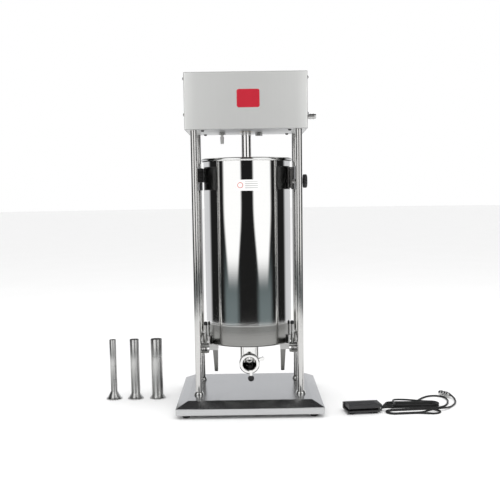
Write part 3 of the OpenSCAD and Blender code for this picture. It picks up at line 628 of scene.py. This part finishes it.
def cover_screw_patches():
    screws = [lathe(screw_profile(4.5, 3.5, 2, 6), (HEAD_W / 2, y, z), "x", 40)
              for y in (-85, 85) for z in (HEAD_Z + 37, HEAD_Z + 124)]
    return screws + [moved(s, mirror=True) for s in screws]


def plate_screw_patches():
    flip = screw_profile(4.5, 3.5, 2.5, 10) * (1, -1)
    return [lathe(flip, (sx * 108, sy * 78, HEAD_Z), sides=40) for sx, sy in SQUARE]


# ---------- head ----------

def head_shell():
    """Folded box open below: rounded rectangles run over its top to the round hole of the rod."""
    rod_hole, sheet, turned_in = 17, 1.5, 40
    part = np.linspace(0, 1, 12, endpoint=False)[:, None]

    def ring(inset):
        corners = rounded_rect(HEAD_W - 2 * inset, HEAD_D - 2 * inset, 3.0, 8)[:, None]
        return (corners * (1 - part) + np.roll(corners, -1, 0) * part).reshape(-1, 2)

    def hole(r):
        outline = ring(0)
        return outline / np.linalg.norm(outline, axis=1, keepdims=True) * r

    edge = eased([(turned_in, HEAD_TOP), (0, HEAD_TOP), (0, HEAD_Z), (sheet, HEAD_Z),
                  (sheet, HEAD_TOP - sheet), (turned_in, HEAD_TOP - sheet)], 1.6)
    rings = [hole(rod_hole), hole(rod_hole)] + [ring(inset) for inset, _ in edge]
    return [(stacked(rings, [HEAD_TOP - sheet, HEAD_TOP, *edge[:, 1]]), True, True)]


def badge():
    """Slightly crowned plate: outlines shrink as they rise, 0.5 mm higher in the middle."""
    share = np.array([0, 1, 1, 0.97, 0.93, 0.8, 0.6, 0.3, 0])
    lift = np.array([0, 0, 0.45, 0.75, 0.85, 0.92, 0.97, 1.0, 1.0])
    rings = [rounded_rect(56, 44, 5, 8) * s for s in share]
    return [(laid(stacked(rings, lift), "front") + (6, -HEAD_D / 2, HEAD_Z + 74), False, True)]


def socket():
    """Round cable socket: nut, three ridged coupling rings and a hollow end."""
    profile = [(0, -8), (6, -8), (6, 0), (8.4, 0), (8.4, 0.9), (6.2, 1.2)]
    for start in (2, 10, 18):
        profile += [(6.2, start), (7, start + 0.5), (7, start + 2.5), (6.2, start + 3)]
    profile += [(6, 24.6), (5.6, 26), (4.6, 26), (4.6, 21), (0, 21)]
    pins = [lathe([(0, 20), (0.9, 20), (0.9, 24.2), (0, 24.8)],
                  (HEAD_W / 2, -30 + 2.3 * math.cos(a), HEAD_Z + 34 + 2.3 * math.sin(a)), "x", 12)
            for a in (0.5, 2.6, 4.7)]
    return [lathe(profile, (HEAD_W / 2, -30, HEAD_Z + 34), "x", 56)] + pins


# ---------- cylinder and outlet ----------

def vessel():
    """Thin-walled cylinder with a rolled rim: circles given by radius, height and the place of their middle.
    The last circles run across the floor to the outlet's hole, which stands forward of the axis."""
    a = np.linspace(math.radians(-128), math.radians(90), 16)
    bead = np.stack([112.5 + 4 * np.cos(a), VESSEL_TOP - 4 + 4 * np.sin(a)], -1)
    foot = eased([(60, VESSEL_Z), (VESSEL_R, VESSEL_Z), (VESSEL_R, 200)], 5.0)
    neck = eased([(VESSEL_R, 400), (VESSEL_R, VESSEL_TOP - 8), (bead[0][0] + 0.2, bead[0][1] - 0.4)], 1.5)
    inside = [(BORE_R + 0.8, VESSEL_TOP), (BORE_R, VESSEL_TOP - 0.8), (BORE_R, 400),
              (BORE_R, VESSEL_Z + 2), (60, VESSEL_Z + 2)]
    walls = np.concatenate([foot, neck, bead, inside])
    around = np.linspace(0, TAU, 192, endpoint=False)
    circle = np.stack([np.cos(around), np.sin(around)], -1)
    outlet = circle * 21.5 + (0, OUT_Y)
    rings = [outlet] + [circle * r for r, _ in walls] + [outlet]
    return [(stacked(rings, [VESSEL_Z, *walls[:, 1], VESSEL_Z + 2]), True, True)]


def label():
    """Sheet of film on the cylinder: (R sin a, -R cos a, z), its corners rounded off by an arc."""
    corner = 2 * (1 - np.cos(np.linspace(0.3, math.pi / 2, 5)))
    x = np.concatenate([[-26], -26 + corner, np.linspace(-22, 28, 26), 32 - corner[::-1], [32]])
    past = np.clip((abs(x - 3) - 27) / 2, 0, 1)
    half = 13.5 - 2 * (1 - np.sqrt(1 - past ** 2))
    rings = []
    for at, high in zip(x, half):
        r = VESSEL_R + np.array([0.02, 0.38, 0.38, 0.02])
        rings.append(np.stack([r * math.sin(at / VESSEL_R), -r * math.cos(at / VESSEL_R),
                               LABEL_Z + high * np.array([-1, -1, 1, 1])], -1))
    rings = [np.repeat(rings[0].mean(0)[None], 4, 0), *rings, np.repeat(rings[-1].mean(0)[None], 4, 0)]
    return [(np.stack(rings), False, True)]


def outlet_ring():
    """Ring nut: a grooved and chamfered section turned about the mouth's axis, with a lug and a lever
    that tapers to the ball."""
    section = eased([(22.6, 0), (25, 0), (26, 1.2), (26, 4.4), (25.2, 5), (25.2, 10), (26, 10.6), (26, 13),
                     (24.2, 15), (18.2, 15), (17, 13.8), (17, 11), (22.6, 11)], 0.6, True, 4)
    ring = lathe(section, (0, -75, OUT_Z), "front", 120, True)
    lug = eased([(24, -4), (38, -4), (40.5, -2), (40.5, 2), (38, 4), (24, 4)], 1.5, True)
    c, s = math.cos(math.radians(20)), math.sin(math.radians(20))
    lug = np.asarray(lug) @ np.array([[c, s], [-s, c]])
    lever = eased([(-1, -16), (8, -16), (6.6, -31), (0.4, -31)], 1.0, True)
    return [ring,
            moved(slab(lug, -3, 8, "front"), (0, -80, OUT_Z)),
            moved(slab(lever, 0, 4, "front"), (0, -88, OUT_Z))]


def ball():
    """Ball with a short collar: a sphere's section, then the collar."""
    a = np.linspace(-math.pi / 2, math.radians(38.7), 24)
    profile = np.stack([8 * np.cos(a), 8 * np.sin(a)], -1)
    profile = np.concatenate([profile, [(4.6, 5.0), (4.2, 6.4), (0, 6.4)]])
    return [lathe(profile, (3.5, MOUTH_Y - 6, OUT_Z - 37), sides=48)]


# ---------- clamp and lock pins ----------

def knob():
    """Star knob: rings of radius R s (1 + 0.07 c cos 12a) rise from the hub, round the grip, to the cap."""
    share = np.array([0, 0.45, 0.5, 0.92, 1, 1, 0.93, 0.75, 0.5, 0.25, 0])
    height = np.array([-1.5, -1.5, 0, 0, 1.6, 8.2, 10.4, 11.2, 11.4, 11.5, 11.5])
    wave = np.array([0, 0, 0, 1, 1, 1, 1, 0.5, 0, 0, 0])
    a = np.linspace(0, TAU, 144, endpoint=False)
    rings = [16.2 * s * (1 + 0.07 * w * np.cos(12 * a))[:, None] * np.stack([np.cos(a), np.sin(a)], -1)
             for s, w in zip(share, wave)]
    return [(laid(stacked(rings, height), "x") + (KNOB_X, 0, CLAMP_Z), False, True)]


def pin_cap(side):
    a = np.linspace(0, math.pi / 2, 10)
    dome = np.stack([5 * np.cos(a), 214.4 + 4.4 * np.sin(a)], -1)
    profile = np.concatenate([[(0, 209), (4.4, 209), (5, 209.8)], dome])
    return [lathe(profile, (side * LOCK_X, PIVOT_Y, 0), sides=40)]


def pin_rod(side):
    profile = eased([(0, 135), (3, 135), (3, 210), (0, 210)], 0.7)
    return [lathe(profile, (side * LOCK_X, PIVOT_Y, 0), sides=40)]


# ---------- stuffing tubes ----------

def tube(x, y, r, cone):
    """Stuffing tube: a section that flares from the straight wall to the flange on which it stands."""
    t = np.linspace(0, 1, 10)
    flare = np.stack([20.6 + (r - 20.6) * t ** 0.8, 2.6 + cone * t], -1)
    inner = flare[::-1] - (1.3, 2.4)
    flange = [(21.0, 0), (21.5, 0.5), (21.5, 2.1), (21.0, 2.6)]
    wall = [(r, 100), (r, 161.4), (r - 0.4, 162), (r - 0.7, 162), (r - 1, 161.6), (r - 1, 100)]
    profile = np.concatenate([flange, flare, wall, inner])
    return [lathe(profile, (x, y, 0), sides=96, closed=True)]


# ---------- foot switch ----------

def treadle():
    """Moulded treadle: its side outline carried across, with ribs over the tread."""
    left, right, front = -39.5, 37, -28
    outline = eased([(front, 14), (16, 14), (19.6, 15.4), (19.6, 19.6), (22, 20.8), (25.4, 20.8), (26, 22),
                     (front, 24)], 1.6, True)
    body = slab(outline, left, right, "x")
    ribs = [grown((left + 3, y, 22.4), (right - 3, y + 2, 24.35 - (y - front) * 0.035))
            for y in np.arange(-23, 12, 4.6)]
    bores = [eased([(1.6, low), (3, low), (3, high), (1.6, high)], 0.3, True)
             for low, high in ((left, -12), (-8, 8), (12, right))]
    barrel = [lathe(bore, (0, PIN_Y, PIN_Z), "x", 32, True) for bore in bores]
    return [at_pedal(p) for p in [body] + ribs + barrel]


def pedal_screw():
    return [at_pedal(lathe(screw_profile(2.4, 1.4, 1.2, 3), (42, -20, 13), "front", 32))]


# ---------- pieces ----------

PIECES = (
    ("tray", folded_tray(), "tray", "frame", "satin_steel", ["base_tray"]),
    ("tray_feet", foot_patches(), "rubber", "frame", "rubber", ["rubber_feet"]),
    ("column_rods", column_patches(), "column", "frame", "polished_steel", ["columns"]),
    ("column_domes", collar_patches(), "bright", "frame", "polished_steel", ["column_collars"]),
    ("head_box", head_shell(), "head", "frame", "satin_steel", ["head_cover"]),
    ("head_screws", cover_screw_patches(), "bright", "frame", "steel", ["cover_screws"]),
    ("plate_bolts", plate_screw_patches(), "dark_steel", "frame", "steel", ["plate_screws"]),
    ("badge", badge(), "enamel", "frame", "red_enamel", ["badge_plate"]),
    ("cable_socket", socket(), "steel", "frame", "plug_metal", ["pedal_socket"]),
    ("vessel", vessel(), "vessel", "frame", "polished_steel", ["cylinder"]),
    ("vessel_label", label(), "label", "frame", "label_film", ["cylinder_label"]),
    ("mouth_ball", ball(), "plastic", "mouth_nut", "black_plastic", ["outlet_ball"]),
    ("knob", knob(), "plastic", "clamp_spindle", "black_plastic", ["clamp_knob"]),
    ("pin_cap_left", pin_cap(-1), "plastic", "lock_left", "black_plastic", ["lock_pin_left"]),
    ("pin_cap_right", pin_cap(1), "plastic", "lock_right", "black_plastic", ["lock_pin_right"]),
    ("pin_rod_left", pin_rod(-1), "steel", "lock_left", "steel", []),
    ("pin_rod_right", pin_rod(1), "steel", "lock_right", "steel", []),
    ("tube_small", tube(-367, 44, 9, 19), "tube", "tube_small", "tube_steel", ["stuffing_tube_small"]),
    ("tube_medium", tube(-309, 45, 12.5, 12), "tube", "tube_medium", "tube_steel", ["stuffing_tube_medium"]),
    ("tube_large", tube(-250, 46, 15.5, 8), "tube", "tube_large", "tube_steel", ["stuffing_tube_large"]),
    ("pedal_screw", pedal_screw(), "bright", "foot_switch", "steel", []),
)
for name, patches, finish, body, slot, stands_for in PIECES:
    piece(name, patches, finish, body, stands_for)
piece("mouth_ring", outlet_ring(), "mirror", "mouth_nut", ["outlet_nut"], bevel=0.3)
piece("tread", treadle(), "pedal", "treadle", ["pedal_treadle"], bevel=0.4)

CARRIED = {
    "steel": ["foot_screws", "column_nuts", "head_posts", "gearbox_cheeks", "drive_shaft", "motor_bracket",
              "limit_switch", "drain_plug", "switch_plunger", "clamp_pad", "clamp_screw", "piston_nut",
              "release_valve", "pedal_pin", "trunnions"],
    "sheet": ["head_plate"],
    "tray": ["piston_plate"],
    "dark_steel": ["upper_brackets", "stop_block"],
    "grey_steel": ["lower_brackets", "cylinder_legs"],
    "mirror": ["outlet_elbow", "piston_rod"],
    "bronze": ["upper_rod_bush", "lower_rod_bush"],
    "gear": ["pinion", "driven_gear", "motor_gear", "shaft_bearings"],
    "casing": ["motor_casing"],
    "box": ["control_box"],
    "plastic": ["trunnion_bushes"],
    "pedal": ["pedal_base"],
    "rubber": ["outlet_seal", "pedal_feet"],
    "food_rubber": ["piston_seal"],
}
for finish, names in CARRIED.items():
    for name in names:
        wear(NODES[name], finish)


# ---------- studio ----------

STUDIO_R, STUDIO_H = 1500, 2400


def unseen(obj):
    """The object shows only in reflections."""
    obj.visible_camera = obj.visible_diffuse = obj.visible_shadow = obj.visible_transmission = False


def stage_mesh(name, patch, finish, flip=False):
    grid, wrap_u, wrap_v = patch
    mesh = bpy.data.meshes.new(name)
    faces = faces_of(*grid.shape[:2], wrap_u, wrap_v)
    faces = faces[:, ::-1] if flip else faces
    mesh.from_pydata((grid.reshape(-1, 3) / 1000).tolist(), [], faces.tolist())
    mesh.shade_smooth()
    obj = bpy.data.objects.new(name, mesh)
    bpy.context.scene.collection.objects.link(obj)
    obj.data.materials.append(finish.material)
    return obj


def glow(name):
    made = Finish(name, (0, 0, 0), roughness=1.0)
    made.shader.inputs["Specular IOR Level"].default_value = 0
    made.shader.inputs["Emission Strength"].default_value = 1
    return made


def surround_finish():
    """Studio wall in bearings round the machine: 0 is the front. Two white screens that narrow downwards
    stand either side of a dark gap, the flanks are dark and the rear is pale grey."""
    made = glow("studio_wall")
    x, y, z = (made.axis(k) for k in "XYZ")
    bearing = abs(made.node("ShaderNodeMath", {"operation": "ARCTAN2"}, {0: x, 1: y * -1}) * (180 / math.pi))
    spread = made.between(z, 0.12, 0.52)
    inner = 28 - spread * 12.5
    outer = 52 + spread * 11
    screen = made.between(bearing, inner - 3, inner + 3) * (1 - made.between(bearing, outer - 4, outer + 4))
    screen = screen * made.between(z, 0.14, 0.30)
    rear = made.between(bearing, 108, 122) * (1 - made.between(z, 0.7, 1.3))
    haze = (1 - made.between(z, 0.05, 0.42)) * made.between(bearing, 18, 34)
    haze = haze * (1 - made.between(bearing, 56, 70))
    tone = made.shade(haze, (0.012, 0.012, 0.012), (0.14, 0.17, 0.175))
    tone = made.shade(rear, tone, (0.58, 0.585, 0.60))
    made.feed("Emission Color", made.shade(screen, tone, (1.0, 1.0, 1.0)))
    made.shader.inputs["Emission Strength"].default_value = 1.25
    return made


def make_studio():
    around = np.linspace(0, TAU, 120, endpoint=False)
    circle = STUDIO_R * np.stack([np.cos(around), np.sin(around)], -1)
    drum = stacked([circle, circle], [0, STUDIO_H])
    wall = stage_mesh("studio_wall", (drum, False, True), surround_finish())
    unseen(wall)
    roof_finish = glow("studio_roof")
    roof_finish.shader.inputs["Emission Color"].default_value = (0.05, 0.05, 0.052, 1)
    disc = stacked([circle, circle * 0.001], [STUDIO_H, STUDIO_H])
    roof = stage_mesh("studio_roof", (disc, False, True), roof_finish)
    unseen(roof)
    pale = Finish("pale_floor", (0.9, 0.9, 0.9), roughness=0.9)
    pale.feed("Base Color", pale.shade(pale.noise(3.0), (0.89, 0.89, 0.89), (0.92, 0.92, 0.92)))
    floor = stage_mesh("floor", (stacked([circle * 0.0001, circle * 20], [0, 0]), False, True), pale, True)
    floor.visible_shadow = True
    world = bpy.data.worlds.new("studio")
    world.use_nodes = True
    world.node_tree.nodes["Background"].inputs["Color"].default_value = (1, 1, 1, 1)
    world.node_tree.nodes["Background"].inputs["Strength"].default_value = 1.0
    bpy.context.scene.world = world
    light = bpy.data.lights.new("overhead", "AREA")
    light.shape, light.size, light.size_y, light.energy = "RECTANGLE", 4, 4, 60
    lamp = bpy.data.objects.new("overhead", light)
    lamp.location = (0, -1.2, 3.2)
    lamp.visible_glossy = lamp.visible_camera = False
    bpy.context.scene.collection.objects.link(lamp)
    bpy.context.scene.view_settings.view_transform = "Standard"


make_studio()
